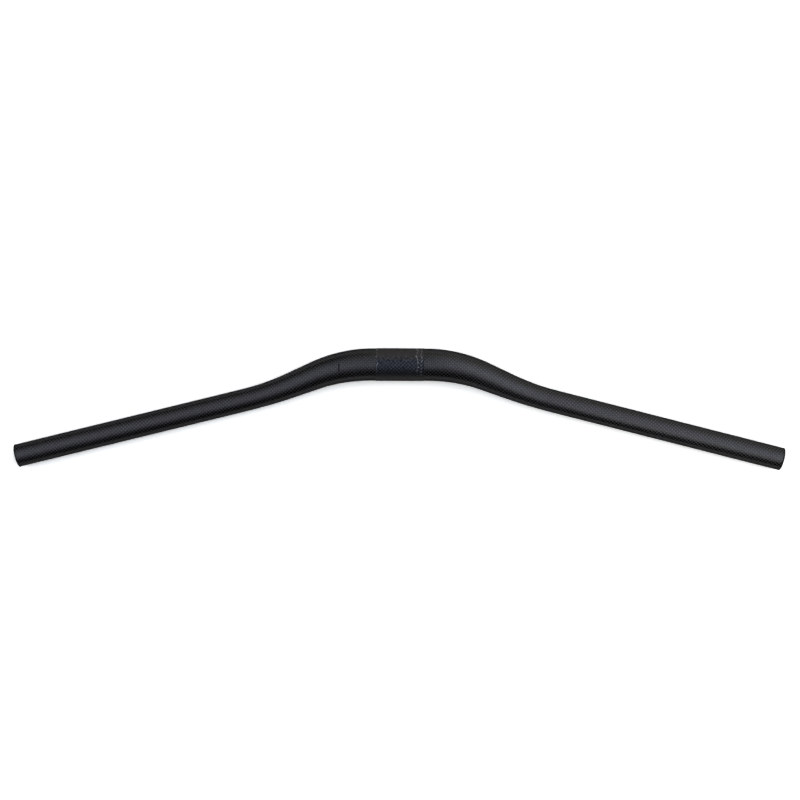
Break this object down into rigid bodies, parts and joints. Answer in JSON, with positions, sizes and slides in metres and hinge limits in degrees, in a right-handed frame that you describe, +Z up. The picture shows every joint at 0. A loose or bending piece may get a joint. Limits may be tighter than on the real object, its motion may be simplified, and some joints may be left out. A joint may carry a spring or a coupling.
{
  "type": "riser handlebar",
  "caption": "Carbon-fibre bicycle riser handlebar: a tapered tube with rise and backsweep, a rough clamp zone in the middle and a push-in plug in each end.",
  "frame": {"origin": "middle of the clamp zone, on its axis", "axes": "+X along the bar through the clamp zone, +Z up from the surface that the bar lies on, and the ends swept towards -Y"},
  "size_m": [0.7474, 0.1168, 0.0318],
  "materials": {
    "carbon_weave": "plain-weave carbon fibre under a satin clear coat, with a rough matte finish on the clamp zone",
    "plug_plastic": "moulded"
  },
  "bodies": {
    "root": {"handlebar": "carbon_weave", "end_plug_left": "plug_plastic", "end_plug_right": "plug_plastic"}
  },
  "joints": []
}
